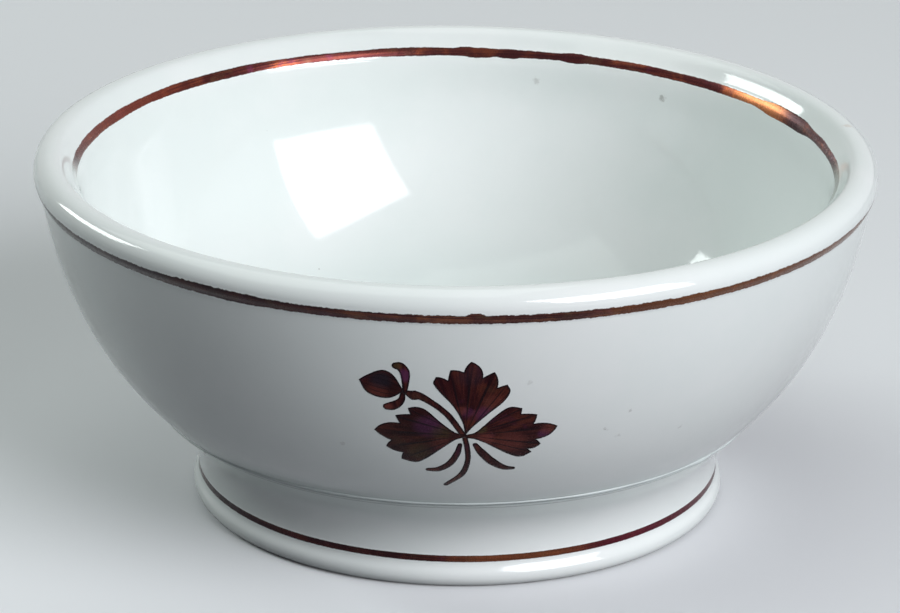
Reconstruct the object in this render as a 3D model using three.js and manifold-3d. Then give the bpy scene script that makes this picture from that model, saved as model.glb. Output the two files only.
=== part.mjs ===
// A slop bowl: a thick round bowl of glazed white earthenware with a rolled rim, luted to a
// turned foot. Three lustre bands and a leaf-and-bud sprig, front and back, are painted on it.
// Millimetres, +Z up. The origin is the centre of the face that the foot stands on, and the
// front sprig faces -Y.
import * as THREE from "three";
import { mergeVertices } from "three/addons/utils/BufferGeometryUtils.js";
import Module from "manifold-3d";

// Overall size
const rimRadius = 73;
const bowlHeight = 63.3;
const turns = 64; // flat facets round the axis, a multiple of four

// Rolled rim
const rollRadius = 3.1;
const notchAngle = 45; // degrees below level, where the wall runs into the roll
const lipWidth = 6.2; // from the outside of the rim to the edge inside it
const lipDepth = 3.25; // from the top of the rim down to that edge
const bevelLean = 52; // degrees above level, from that edge up to the roll
const bevelPull = 2.9;
const bevelPullAtRoll = 0.7;
const flareShare = 0.84; // how far up the wall its inside starts to flare out to the edge
const flareThickness = 6.35; // the wall where the flare starts
const flarePull = 2.6; // how far the flare keeps the inside's lean
const flareLeanAtEdge = 70;
const flarePullAtEdge = 2.2;

// Wall, from the seam with the foot up to the rim
const seamRadius = 52.6;
const seamHeight = 18.1;
const wallThickness = 5;
const wallLeanAtSeam = 44; // degrees above level
const wallLeanAtRim = 81;
const wallPullAtSeam = 7.9; // how far the curve keeps its first lean
const wallPullAtRim = 23.5;

// Bottom of the bowl
const undersideHeight = 9.6;
const floorThickness = 4.8;
const floorRadius = 26; // the flat middle of the inside
const undersideRadius = 33; // the flat middle underneath
const seatLean = 24; // how the luting face leaves the seam
const seatPull = 5;

// Turned foot
const footRadius = 46.75;
const footRollRadius = 1.9; // the rounded bottom edge
const waistDepth = 0.9; // how far the waist is turned in above it
const footWall = 4.35; // from the waist to the foot's inner wall
const footDraft = 0.7; // how much the inner wall widens on its way down
const footTopHeight = 11.2; // where the foot's inner wall meets the bowl
const innerEdgeRadius = 0.8;
const coveLean = 47; // the foot's cove where it reaches the seam
const covePullAtWaist = 5.5;
const covePullAtSeam = 4.7;

// Slip squeezed out along the seam
const slipWidth = 1.1;
const slipHeight = 0.3;

// Painted bands
const filmThickness = 0.2;
const outerBandBelowNotch = 0.5;
const outerBandTopAngle = 18; // degrees below level on the roll
const innerBandWidth = 1.55; // down from the lip's edge
const footBandLow = 4.6;
const footBandWidth = 1.2;

// Painted sprig, in millimetres along the wall from the point where its leaves meet
const sprigHeight = 36;
const sprigTurn = 1.45; // degrees to the right of the middle
const filmGap = 0.05; // so that the film clears the wall that it is cut from
const leafStart = 1.3;
const shoulderReach = 0.75; // where a leaf's side is fullest, as a share of its lobe
const notchReach = 0.93; // a notch, as a share of the shorter lobe beside it
const notchLean = 0.38; // how far a notch lies from the longer lobe to the shorter
const lobeReach = 0.99; // how full the sides of a lobe are, as a share of it
const lobeLean = 0.3;
const curveSteps = 3;

// Each lobe is its direction in degrees and its reach. The shoulders say how many degrees a leaf's
// first and last sides swell beyond their lobes.
const leaves = {
  leaf_centre: {
    shoulders: [5, -6],
    lobes: [[59, 12.7], [72, 14.2], [87, 15.7], [99, 14.3], [110, 13.3]],
  },
  leaf_left: {
    shoulders: [19, 21],
    lobes: [[146, 10.6], [160, 11.7], [178, 14.7], [195, 13.5], [212, 12.7]],
  },
  leaf_right: {
    shoulders: [19, 17],
    lobes: [[-23, 12.3], [-13, 12.9], [5, 15], [21, 12.2], [34, 10.7]],
  },
};

// The bud is two curves between its tip and its stalk end
const bud = {
  tip: [-16.1, 11],
  stalk: [-9.9, 9.4],
  above: [[-14.6, 14.5], [-11, 14.4]],
  below: [[-11.6, 7], [-15, 7.1]],
};

// Each stroke is a line of [right, up, width]
const strokes = {
  bud_stem: [[-1, 2, 0.6], [-2.4, 4.2, 0.9], [-3.9, 6.1, 0.9], [-5.4, 7.4, 1], [-6.9, 8.6, 1.3],
    [-7.9, 8.8, 1.9], [-8.6, 8.8, 0.8]],
  sepal_upper: [[-9.2, 9.8, 0.4], [-9, 11.9, 1.2], [-9.1, 13.5, 1.5], [-9.8, 14.6, 1.4],
    [-10.7, 14.7, 1.2]],
  sepal_lower: [[-9.4, 8.7, 0.4], [-9.8, 7.6, 1], [-10.6, 6.6, 1.5], [-11.6, 6.1, 1.7],
    [-12.5, 5.9, 1.4]],
  leaf_stem: [[0, -1.3, 0.6], [0.4, -3.4, 0.8], [0.5, -6.7, 0.8], [-0.5, -10.6, 1.1],
    [-3.6, -14.3, 0.8]],
  tendril_left: [[-0.8, -2.2, 0.5], [-1.3, -4.7, 0.9], [-2.6, -7.5, 1.1], [-4.6, -9.2, 1.2],
    [-6.7, -9.4, 0.8]],
  tendril_right: [[1.6, -2.3, 0.5], [2.8, -4.4, 1.3], [4.7, -7, 1.5], [6.9, -8.8, 1.2],
    [8.7, -9.1, 0.7]],
};

// Finishes
const glaze = new THREE.MeshStandardMaterial({ color: 0xdde6e2, roughness: 0.1, metalness: 0 });
const slip = new THREE.MeshStandardMaterial({ color: 0xd3dcd9, roughness: 0.15, metalness: 0 });
const lustre = new THREE.MeshStandardMaterial({ color: 0x4b2117, roughness: 0.3, metalness: 0.7 });

const wasm = await Module();
wasm.setup();

const point = (radius, height) => new THREE.Vector2(radius, height);
const heading = (degrees) => {
  const angle = THREE.MathUtils.degToRad(degrees);
  return point(Math.cos(angle), Math.sin(angle));
};
const from = (start, degrees, distance) => start.clone().addScaledVector(heading(degrees), distance);

// Points of a curve between two shares of its length, both ends included
function stretch(curve, first, last, steps) {
  return Array.from({ length: steps + 1 }, (_, i) => curve.getPointAt(first + ((last - first) * i) / steps));
}

function arc(centre, radius, first, last, steps) {
  return Array.from({ length: steps + 1 }, (_, i) => from(centre, first + ((last - first) * i) / steps, radius));
}

// A curve that leaves its start and reaches its end at the leans given
function bend(start, startLean, startPull, end, endLean, endPull) {
  return new THREE.CubicBezierCurve(start, from(start, startLean, startPull), from(end, endLean, -endPull), end);
}

// Moves a line of points to its left by a distance, or by one that changes along it
function offset(points, distance) {
  const last = points.length - 1;
  return points.map((p, i) => {
    const before = points[Math.max(i - 1, 0)];
    const after = points[Math.min(i + 1, last)];
    const along = after.clone().sub(before).normalize();
    const amount = typeof distance === "function" ? distance(i / last) : distance;
    return point(p.x - along.y * amount, p.y + along.x * amount);
  });
}

// Turns a section about the axis, with +Z up
function turned(points) {
  const geometry = new THREE.LatheGeometry(points, turns);
  return geometry.rotateX(Math.PI / 2);
}

const closed = (points) => [...points, points[0].clone()];

// The rim, the wall and the seam, which the other pieces share
const rollCentre = point(rimRadius - rollRadius, bowlHeight - rollRadius);
const notch = from(rollCentre, -notchAngle, rollRadius);
const wallTop = from(notch, wallLeanAtRim, -outerBandBelowNotch);
const seam = point(seamRadius, seamHeight);
const wall = bend(seam, wallLeanAtSeam, wallPullAtSeam, wallTop, wallLeanAtRim, wallPullAtRim);
const slipShare = slipWidth / 2 / wall.getLength();
const wallPoints = stretch(wall, slipShare, 1, 12);
const slipTop = wallPoints[0];
const rollBand = arc(rollCentre, rollRadius, -notchAngle, -outerBandTopAngle, 1);
const outerBandSeat = [wallTop, ...rollBand];

// The inside follows the wall, thickening as it rises, and then flares out to the lip's edge
const thicknessAt = (share) => THREE.MathUtils.lerp(wallThickness, flareThickness, share);
const innerWall = offset(stretch(wall, 0, flareShare, 9), thicknessAt);
const [innerWallEnd, flareStart] = innerWall.slice(-2);
const flareLean = THREE.MathUtils.radToDeg(flareStart.clone().sub(innerWallEnd).angle());
const lipEdge = point(rimRadius - lipWidth, bowlHeight - lipDepth);
const innerBandFoot = from(lipEdge, (flareLeanAtEdge + bevelLean) / 2, -innerBandWidth);
const flare = bend(flareStart, flareLean, flarePull, innerBandFoot, flareLeanAtEdge, flarePullAtEdge);
const rollTop = from(rollCentre, 90, rollRadius);
const bevel = bend(lipEdge, bevelLean, bevelPull, rollTop, 0, bevelPullAtRoll);

// The foot's radii follow from its outside and its wall
const waistRadius = footRadius - waistDepth;
const footInnerRadius = waistRadius - footWall;
const standingInnerRadius = footInnerRadius + footDraft;

// The luting face between bowl and foot
const footTop = point(footInnerRadius, footTopHeight);
const seatCurve = new THREE.QuadraticBezierCurve(footTop, from(seam, seatLean, -seatPull), seam);
const seat = stretch(seatCurve, 0, 1, 3);

function bowlBody() {
  const flatEdge = point(undersideRadius, undersideHeight);
  const underside = new THREE.QuadraticBezierCurve(flatEdge, point((undersideRadius + footInnerRadius) / 2,
    undersideHeight), footTop);
  const roll = arc(rollCentre, rollRadius, -outerBandTopAngle, 90, 6);
  const lip = [...stretch(flare, 0, 1, 5), ...stretch(bevel, 0, 1, 5)];
  const floorEdge = point(floorRadius, undersideHeight + floorThickness);
  const kneePull = (innerWall[0].x - floorRadius) / 3;
  const knee = bend(innerWall[0], wallLeanAtSeam, -kneePull, floorEdge, 180, kneePull);
  return turned([
    point(0, undersideHeight),
    ...stretch(underside, 0, 1, 2).slice(0, -1),
    ...seat,
    ...wallPoints,
    ...rollBand.slice(0, -1),
    ...roll,
    ...lip.slice(0, -1).reverse(),
    ...innerWall.slice(1, -1).reverse(),
    ...stretch(knee, 0, 1, 4),
    point(0, floorEdge.y),
  ]);
}

// The foot's outside, from the rounded bottom edge up the cove to the seam
const footRollCentre = point(footRadius - footRollRadius, footRollRadius);
const footBandTop = point(waistRadius, footBandLow + footBandWidth);
const footBandBottom = point(waistRadius, footBandLow);
const cove = bend(footBandTop, 90, covePullAtWaist, seam, coveLean, covePullAtSeam);
const coveShare = 1 - slipWidth / 2 / cove.getLength();
const covePoints = stretch(cove, 0, coveShare, 6);
const slipBottom = covePoints[covePoints.length - 1];

function footRing() {
  const edge = point(footRadius, footRollRadius);
  const pull = (footBandLow - footRollRadius) / 2;
  const ankle = bend(edge, 90, pull, footBandBottom, 90, pull);
  const innerEdge = point(standingInnerRadius + innerEdgeRadius, innerEdgeRadius);
  return turned(closed([
    ...arc(footRollCentre, footRollRadius, -90, 0, 4).slice(0, -1),
    ...stretch(ankle, 0, 1, 3).slice(0, -1),
    footBandBottom,
    ...covePoints,
    ...seat.slice().reverse(),
    ...arc(innerEdge, innerEdgeRadius, 180, 270, 2),
  ]));
}

// A bead of slip, thin at both edges, that lies half on the bowl and half on the foot
function slipSeam() {
  const crown = offset([slipBottom, seam, slipTop], -slipHeight);
  return turned(closed([slipBottom, crown[1], slipTop, seam]));
}

// A ring of paint on a stretch of wall, with the clay to the left of its seat
function bandRing(seatPoints) {
  return turned(closed([...offset(seatPoints, -filmThickness), ...seatPoints.slice().reverse()]));
}

// Manifold solids for the pieces that are cut
function toSolid(geometry) {
  const bare = geometry.clone();
  bare.deleteAttribute("normal");
  bare.deleteAttribute("uv");
  const merged = mergeVertices(bare, 1e-4);
  const mesh = new wasm.Mesh({
    numProp: 3,
    vertProperties: new Float32Array(merged.attributes.position.array),
    triVerts: new Uint32Array(merged.index.array),
  });
  return new wasm.Manifold(mesh);
}

function toGeometry(solid) {
  const mesh = solid.getMesh();
  const geometry = new THREE.BufferGeometry();
  geometry.setAttribute("position", new THREE.BufferAttribute(mesh.vertProperties.slice(), 3));
  geometry.setIndex(new THREE.BufferAttribute(mesh.triVerts.slice(), 1));
  geometry.computeVertexNormals();
  return geometry;
}

// The share of the wall's length at which it reaches a height
function shareAtHeight(height) {
  let low = 0;
  let high = 1;
  for (let i = 0; i < 40; i += 1) {
    const middle = (low + high) / 2;
    if (wall.getPointAt(middle).y < height) low = middle;
    else high = middle;
  }
  return low;
}

const wallLength = wall.getLength();
const sprigShare = shareAtHeight(sprigHeight);
const sprigRadius = wall.getPointAt(sprigShare).x;

// Lays a flat outline on the wall, as it is seen from straight in front
function wrapped(outline) {
  return outline.map((p) => {
    const onWall = wall.getPointAt(sprigShare + p.y / wallLength);
    const angle = THREE.MathUtils.degToRad(sprigTurn) + p.x / sprigRadius;
    return point(onWall.x * Math.sin(angle), onWall.y);
  });
}

// Cuts an outline out of a film that lies over the wall
function painted(outline, film) {
  const shape = new THREE.Shape(wrapped(outline));
  const prism = new THREE.ExtrudeGeometry(shape, { depth: rimRadius, bevelEnabled: false });
  return toGeometry(toSolid(prism.rotateX(Math.PI / 2)).intersect(film));
}

function wallFilm() {
  const line = [slipTop, ...wallPoints.slice(1)];
  return toSolid(turned(closed([
    ...offset(line, -filmGap - filmThickness),
    ...offset(line, -filmGap).reverse(),
  ])));
}

function leafOutline({ lobes, shoulders }) {
  const main = lobes.reduce((a, b) => (b[1] > a[1] ? b : a));
  const reach = ([direction, distance]) => from(point(0, 0), direction, distance);
  const side = ([direction, distance], lean) => reach([direction + lean, distance * shoulderReach]);
  const swell = (lobe, next) => reach([lobe[0] + (next[0] - lobe[0]) * lobeLean, lobe[1] * lobeReach]);
  const stalk = reach([main[0], leafStart]);
  const shape = new THREE.Shape([stalk]);
  const bow = (control, end) => shape.quadraticCurveTo(control.x, control.y, end.x, end.y);
  bow(side(lobes[0], -shoulders[0]), reach(lobes[0]));
  for (let i = 1; i < lobes.length; i += 1) {
    const [near, far] = lobes[i][1] > lobes[i - 1][1] ? [lobes[i], lobes[i - 1]] : [lobes[i - 1], lobes[i]];
    const notchPoint = reach([near[0] + (far[0] - near[0]) * notchLean, far[1] * notchReach]);
    bow(swell(lobes[i - 1], lobes[i]), notchPoint);
    bow(swell(lobes[i], lobes[i - 1]), reach(lobes[i]));
  }
  bow(side(lobes[lobes.length - 1], shoulders[1]), stalk);
  return shape.getPoints(curveSteps).slice(0, -1);
}

function budOutline() {
  const shape = new THREE.Shape([point(...bud.tip)]);
  shape.bezierCurveTo(...bud.above[0], ...bud.above[1], ...bud.stalk);
  shape.bezierCurveTo(...bud.below[0], ...bud.below[1], ...bud.tip);
  return shape.getPoints(curveSteps * 2).slice(0, -1);
}

function strokeOutline(line) {
  const middle = new THREE.SplineCurve(line.map(([x, y]) => point(x, y)));
  const steps = (line.length - 1) * 2;
  const points = middle.getPoints(steps);
  const halfWidth = (share) => {
    const place = share * (line.length - 1);
    const i = Math.min(Math.floor(place), line.length - 2);
    return THREE.MathUtils.lerp(line[i][2], line[i + 1][2], place - i) / 2;
  };
  const left = offset(points, halfWidth);
  const right = offset(points, (share) => -halfWidth(share));
  return [...right, ...left.reverse()];
}

const bowl = new THREE.Group();

function add(name, geometry, material, parent = bowl) {
  const mesh = new THREE.Mesh(geometry, material);
  mesh.name = name;
  parent.add(mesh);
}

add("bowl_body", bowlBody(), glaze);
add("foot_ring", footRing(), glaze);
add("slip_seam", slipSeam(), slip);
add("outer_rim_band", bandRing(outerBandSeat), lustre);
add("inner_rim_band", bandRing([lipEdge, innerBandFoot]), lustre);
add("foot_band", bandRing([footBandBottom, footBandTop]), lustre);

const outlines = { bud: budOutline() };
for (const [name, leaf] of Object.entries(leaves)) outlines[name] = leafOutline(leaf);
for (const [name, line] of Object.entries(strokes)) outlines[name] = strokeOutline(line);

const film = wallFilm();
const films = Object.entries(outlines).map(([name, outline]) => [name, painted(outline, film)]);
for (const [side, turn] of [["front", 0], ["back", Math.PI]]) {
  const sprig = new THREE.Group();
  sprig.rotation.z = turn;
  bowl.add(sprig);
  for (const [name, geometry] of films) add(`${side}_${name}`, geometry, lustre, sprig);
}

export default bowl;
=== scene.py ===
import math

import bmesh
import bpy
from mathutils import Matrix, Vector, noise
from mathutils.geometry import interpolate_bezier, intersect_point_line


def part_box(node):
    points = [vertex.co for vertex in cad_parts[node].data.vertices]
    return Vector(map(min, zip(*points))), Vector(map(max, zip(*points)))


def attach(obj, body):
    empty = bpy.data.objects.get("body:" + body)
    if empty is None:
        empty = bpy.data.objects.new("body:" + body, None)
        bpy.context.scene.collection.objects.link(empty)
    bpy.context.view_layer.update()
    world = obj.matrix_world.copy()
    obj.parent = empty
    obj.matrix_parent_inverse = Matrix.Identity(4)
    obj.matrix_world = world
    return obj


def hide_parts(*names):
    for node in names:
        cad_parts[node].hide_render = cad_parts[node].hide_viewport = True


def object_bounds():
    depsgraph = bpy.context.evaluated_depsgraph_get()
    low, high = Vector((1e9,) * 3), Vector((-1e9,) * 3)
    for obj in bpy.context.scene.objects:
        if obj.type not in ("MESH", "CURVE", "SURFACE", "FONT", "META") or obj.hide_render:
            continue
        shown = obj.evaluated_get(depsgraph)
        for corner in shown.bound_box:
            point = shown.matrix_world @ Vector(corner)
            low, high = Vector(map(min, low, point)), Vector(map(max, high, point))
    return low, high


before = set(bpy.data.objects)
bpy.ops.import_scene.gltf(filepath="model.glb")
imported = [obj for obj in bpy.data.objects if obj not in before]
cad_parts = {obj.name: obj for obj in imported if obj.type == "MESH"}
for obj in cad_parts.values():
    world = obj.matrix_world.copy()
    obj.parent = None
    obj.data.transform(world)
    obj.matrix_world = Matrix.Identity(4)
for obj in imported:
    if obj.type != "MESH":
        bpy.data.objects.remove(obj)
cadLow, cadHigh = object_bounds()
mm = 0.001
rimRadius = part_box("bowl_body")[1].x
bowlHeight = cadHigh.z
print("frame loaded, rim", round(rimRadius / mm, 2), "mm, height", round(bowlHeight / mm, 2), "mm")


# Sections are drawn in the XZ plane, X away from the axis, and turned about Z

def lean(degrees):
    angle = math.radians(degrees)
    return Vector((math.cos(angle), 0, math.sin(angle)))


def onSection(radius, height):
    return Vector((radius * mm, 0, height * mm))


def arc(centre, radius, first, last, steps):
    return [centre + lean(first + (last - first) * i / steps) * radius for i in range(steps + 1)]


def bend(start, startLean, startPull, end, endLean, endPull, steps):
    # leaves its start and reaches its end at the leans given
    startHandle = start + lean(startLean) * startPull * mm
    endHandle = end - lean(endLean) * endPull * mm
    return interpolate_bezier(start, startHandle, endHandle, end, steps + 1)


def bow(start, control, end, steps):
    # one control point pulls the line aside
    return interpolate_bezier(start, start.lerp(control, 2 / 3), end.lerp(control, 2 / 3), end, steps + 1)


def lengths(points):
    run = [0.0]
    for a, b in zip(points, points[1:]):
        run.append(run[-1] + (b - a).length)
    return run


def pointAt(points, run, distance):
    i = 1
    while i < len(points) - 1 and run[i] < distance:
        i += 1
    return points[i - 1].lerp(points[i], (distance - run[i - 1]) / (run[i] - run[i - 1]))


def stretch(points, first, last, steps):
    # even points between two distances along a line
    run = lengths(points)
    return [pointAt(points, run, first + (last - first) * i / steps) for i in range(steps + 1)]


def sideways(points, amount):
    # moves a line to its left by a distance, or by one that changes with the share of the way along
    moved = []
    for i, point in enumerate(points):
        along = (points[min(i + 1, len(points) - 1)] - points[max(i - 1, 0)]).normalized()
        shift = amount(i / (len(points) - 1)) if callable(amount) else amount
        moved.append(point + Vector((-along.z, 0, along.x)) * shift)
    return moved


def swellAt(distance, width):
    # 1 at a place, fading to nothing on both sides of it
    return math.exp(-(distance / width) ** 2)


# The bowl is turned and fettled by hand, so every piece shares the same slight wobble
handwork = {
    "footShift": 0.93 * mm,   # the foot sits a little to the right of the rim's middle
    "frontDrop": 0.7 * mm,    # the rim is lower in front
    "roundness": 0.12 * mm,   # how far the wall strays from a true circle
    "roundnessScale": 1.3,
}


def handmade(place):
    rise = min(max(place.z / bowlHeight, 0), 1)
    across = Vector((place.x, place.y, 0)) / rimRadius
    stray = noise.noise(Vector((across.x, across.y, rise)) * handwork["roundnessScale"]) - 1
    radial = 1 + rise * handwork["roundness"] * stray / rimRadius
    x = place.x * radial + handwork["footShift"] * (1 - rise)
    z = place.z - handwork["frontDrop"] * rise * (1 - across.y) / 2
    return Vector((x, place.y * radial, z))


def finished(name, mesh, material, node):
    # gives a piece its wobble and finish, and hangs it on the frame
    for vert in mesh.verts:
        vert.co = handmade(vert.co)
    for face in mesh.faces:
        face.smooth = True
    data = bpy.data.meshes.new(name)
    mesh.to_mesh(data)
    mesh.free()
    data.materials.append(material)
    piece = bpy.data.objects.new(name, data)
    bpy.context.scene.collection.objects.link(piece)
    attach(piece, "root")
    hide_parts(node)


def turned(section, steps, ring=False, tags=None):
    # spins a section about the axis; tags are numbers that its points carry to the materials
    mesh = bmesh.new()
    for point in section:
        mesh.verts.new(point)
    for tag, values in (tags or {}).items():
        layer = mesh.verts.layers.float.new(tag)
        for vert, value in zip(mesh.verts, values):
            vert[layer] = value
    verts = list(mesh.verts)
    pairs = list(zip(verts, verts[1:]))
    if ring:
        pairs.append((verts[-1], verts[0]))
    edges = [mesh.edges.new(pair) for pair in pairs]
    bmesh.ops.spin(mesh, geom=verts + edges, cent=(0, 0, 0), axis=(0, 0, 1), angle=2 * math.pi,
                   steps=steps, use_merge=True)
    bmesh.ops.remove_doubles(mesh, verts=mesh.verts, dist=0.001 * mm)
    bmesh.ops.recalc_face_normals(mesh, faces=mesh.faces)
    return mesh


# Shader helpers

def feed(tree, made, values):
    # links a node's inputs to sockets, and sets those that are given a plain value
    for key, value in values.items():
        if isinstance(value, bpy.types.NodeSocket):
            tree.links.new(value, made.inputs[key])
        else:
            made.inputs[key].default_value = value


def add(tree, kind, values=None, **settings):
    made = tree.nodes.new("ShaderNode" + kind)
    for key, value in settings.items():
        setattr(made, key, value)
    feed(tree, made, values or {})
    return made


def calc(tree, operation, *values, clamp=False):
    return add(tree, "Math", dict(enumerate(values)), operation=operation, use_clamp=clamp).outputs[0]


def times(tree, product, *factors):
    for factor in factors:
        product = calc(tree, "MULTIPLY", product, factor)
    return product


def scaled(tree, value, factor, start):
    # start plus so many times the value
    return calc(tree, "MULTIPLY_ADD", value, factor, start)


def vectors(tree, operation, values):
    return add(tree, "VectorMath", values, operation=operation).outputs[0]


def onPiece(tree):
    return add(tree, "TexCoord").outputs["Object"]


def tagged(tree, name):
    return add(tree, "Attribute", attribute_name=name).outputs["Fac"]


def blended(tree, factor, first, second, mode="MIX"):
    return add(tree, "Mix", {0: factor, 6: first, 7: second}, data_type="RGBA", blend_type=mode).outputs[2]


def between(tree, value, low, high):
    # 0 below low and 1 above high, or the other way round where low is the larger
    return add(tree, "MapRange", {0: value, 1: low, 2: high}, interpolation_type="SMOOTHSTEP").outputs[0]


def cloud(tree, where, size, detail=2.0, roughness=0.5, warp=0.0):
    # soft noise whose blotches are about this size in metres
    settings = {"Vector": where, "Scale": 1 / size, "Detail": detail, "Roughness": roughness,
                "Distortion": warp}
    return add(tree, "TexNoise", settings).outputs[0]


def shaderGroup(name, inputs, outputs):
    tree = bpy.data.node_groups.new(name, "ShaderNodeTree")
    for label, kind, value in inputs:
        socket = tree.interface.new_socket(label, in_out="INPUT", socket_type="NodeSocket" + kind)
        socket.default_value = value
    for label, kind in outputs:
        tree.interface.new_socket(label, in_out="OUTPUT", socket_type="NodeSocket" + kind)
    return tree, tree.nodes.new("NodeGroupInput").outputs, tree.nodes.new("NodeGroupOutput")


def useGroup(tree, group, values):
    made = tree.nodes.new("ShaderNodeGroup")
    made.node_tree = group
    feed(tree, made, values)
    return made.outputs


def newMaterial(name):
    material = bpy.data.materials.new(name)
    material.use_nodes = True
    tree = material.node_tree
    return material, tree, tree.nodes["Principled BSDF"]


spotCore = 0.35       # the share of a spot's reach over which it is whole


# A soft-edged spot at one place on the bowl
def makeSpot():
    tree, given, out = shaderGroup(
        "spot", [("Place", "Vector", (0, 0, 0)), ("Centre", "Vector", (0, 0, 0)), ("Reach", "Float", 0.001)],
        [("Mask", "Float")])
    apart = add(tree, "VectorMath", {0: given["Place"], 1: given["Centre"]}, operation="DISTANCE").outputs[1]
    share = calc(tree, "DIVIDE", apart, given["Reach"])
    feed(tree, out, {"Mask": between(tree, share, 1.0, spotCore)})
    return tree


spot = makeSpot()


def spotAt(tree, where, centre, reach):
    # given in millimetres on the true bowl; the centre moves with its wobble
    middle = handmade(Vector(centre) * mm)
    return useGroup(tree, spot, {"Place": where, "Centre": middle, "Reach": reach * mm})["Mask"]


glazing = {
    "clear": (0.80, 0.845, 0.83, 1),       # over most of the bowl
    "thin": (0.85, 0.875, 0.865, 1),       # where the glaze drew thin
    "pooled": (0.70, 0.785, 0.765, 1),     # where it ran together
    "speck": (0.16, 0.14, 0.12, 1),
    "rust": (0.50, 0.30, 0.14, 1),
    # painted shade: the glaze's colour darkened in the creases under the seam's bead
    "grime": (0.30, 0.34, 0.35, 1),        # in the creases of the seam
    "slip": (0.46, 0.51, 0.51, 1),         # through the thin glaze on the seam's bead
    "clay": (0.66, 0.60, 0.52, 1),         # the wiped standing face
    "drift": 55 * mm,                      # size of the broad shifts of tint
    "mottle": 9 * mm,
    "mottleShare": 0.35,
    "thinRange": (0.55, 0.95),
    "cell": 5 * mm,                        # one chance of a speck for each cell
    "speckCut": 0.94,                      # the higher, the fewer specks
    "speckReach": (0.035, 0.015),          # in cells: how far it varies, and the least
    "speckStrength": 0.55,
    "pinhole": 2.2 * mm,                   # one chance of a pinhole for each such cell
    "pinholeCut": 0.9,
    "pinholeEdge": (0.06, 0.02),
    "pinholeHeight": -0.25,
    "pinholeRoughness": 0.3,
    "wave": 17 * mm,                       # size of the slow swells in the gloss
    "ripple": 1.6 * mm,
    "rippleHeight": 0.012,
    "relief": 0.03 * mm,
    "rub": 30 * mm,                        # size of the patches that handling has dulled
    "rubRange": (0.5, 0.8),
    "rubRoughness": 0.05,
    "gloss": 0.07,                         # the roughness where nothing has dulled it
    "ior": 1.52,
}


# The glaze as it shows on any of the clay: its colour, roughness and height
def makeGlazeSkin():
    tree, given, out = shaderGroup(
        "glazeSkin", [("Place", "Vector", (0, 0, 0)), ("Pooling", "Float", 0), ("Specks", "Float", 1)],
        [("Color", "Color"), ("Roughness", "Float"), ("Height", "Float")])
    where = given["Place"]
    drift = cloud(tree, where, glazing["drift"], 2, 0.5, 0.6)
    mottle = cloud(tree, where, glazing["mottle"], 4, 0.6)
    thin = between(tree, scaled(tree, mottle, glazing["mottleShare"], drift), *glazing["thinRange"])
    tint = blended(tree, thin, glazing["clear"], glazing["thin"])
    tint = blended(tree, times(tree, given["Pooling"], mottle), tint, glazing["pooled"])
    # a cell's own colour decides whether it holds a speck, and how large
    cells = add(tree, "TexVoronoi", {"Vector": where, "Scale": 1 / glazing["cell"]}).outputs
    lottery = add(tree, "SeparateColor", {0: cells["Color"]}).outputs
    chosen = calc(tree, "GREATER_THAN", lottery[0], glazing["speckCut"])
    reach = scaled(tree, lottery[1], *glazing["speckReach"])
    speck = between(tree, calc(tree, "DIVIDE", cells["Distance"], reach), 1.0, 0.4)
    speck = times(tree, speck, chosen, given["Specks"], glazing["speckStrength"])
    tint = blended(tree, speck, tint, glazing["speck"])
    holes = add(tree, "TexVoronoi", {"Vector": where, "Scale": 1 / glazing["pinhole"]}).outputs
    lottery = add(tree, "SeparateColor", {0: holes["Color"]}).outputs
    few = calc(tree, "GREATER_THAN", lottery[2], glazing["pinholeCut"])
    pit = times(tree, between(tree, holes["Distance"], *glazing["pinholeEdge"]), few)
    wave = cloud(tree, where, glazing["wave"], 1)
    ripple = cloud(tree, where, glazing["ripple"], 2)
    height = scaled(tree, ripple, glazing["rippleHeight"], wave)
    height = scaled(tree, pit, glazing["pinholeHeight"], height)
    rub = between(tree, cloud(tree, where, glazing["rub"], 5, 0.65, 1.0), *glazing["rubRange"])
    rough = scaled(tree, rub, glazing["rubRoughness"], glazing["gloss"])
    rough = scaled(tree, pit, glazing["pinholeRoughness"], rough)
    feed(tree, out, {"Color": tint, "Roughness": rough, "Height": height})
    return tree


glazeSkin = makeGlazeSkin()

# Marks of age that show one by one: where, how far they reach, and how strongly they show
marks = {
    "inside speck": ((14.9, 63.4, 54.7), 0.9, 0.27),
    "inside chip": ((38.2, 52.8, 55.0), 1.0, 0.5),
    "rim rust": ((68.9, 13.1, 63.0), 1.3, 0.28),
    "front pit": ((12.1, -68.5, 46.5), 0.6, 0.16),
    "right pit": ((28.4, -60.4, 38.6), 0.5, 0.3),
    "right pit below": ((24.4, -60.6, 35.3), 0.5, 0.35),
    "right scratch": ((26.7, -58.5, 33.4), 0.7, 0.2),
    "far right pit": ((37.0, -51.9, 32.2), 0.6, 0.2),
    "left pit": ((-18.3, -61.0, 32.4), 0.5, 0.2),
}
wear = {
    "pooling": (10.5 * mm, 16.5 * mm),     # the heights over which the glaze thickens to the seam
    "thinning": (23 * mm, 18 * mm),        # and those above it over which it thins again
    "well": (30 * mm, 15 * mm),            # where it has run down into the well
    "stirSize": 0.7 * mm,
    "stir": 1.6 * mm,                      # how far a mark's edge wanders
    "grit": 0.8 * mm,                      # size of the grit in the standing face
    "bareHeight": 0.12 * mm,
    "bareWander": -0.25 * mm,
    "bareRoughness": 0.55,
    "bareRelief": 0.5,
}


def bumped(tree, height, distance):
    return add(tree, "Bump", {"Height": height, "Distance": distance, "Strength": 1.0}).outputs[0]


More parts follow.
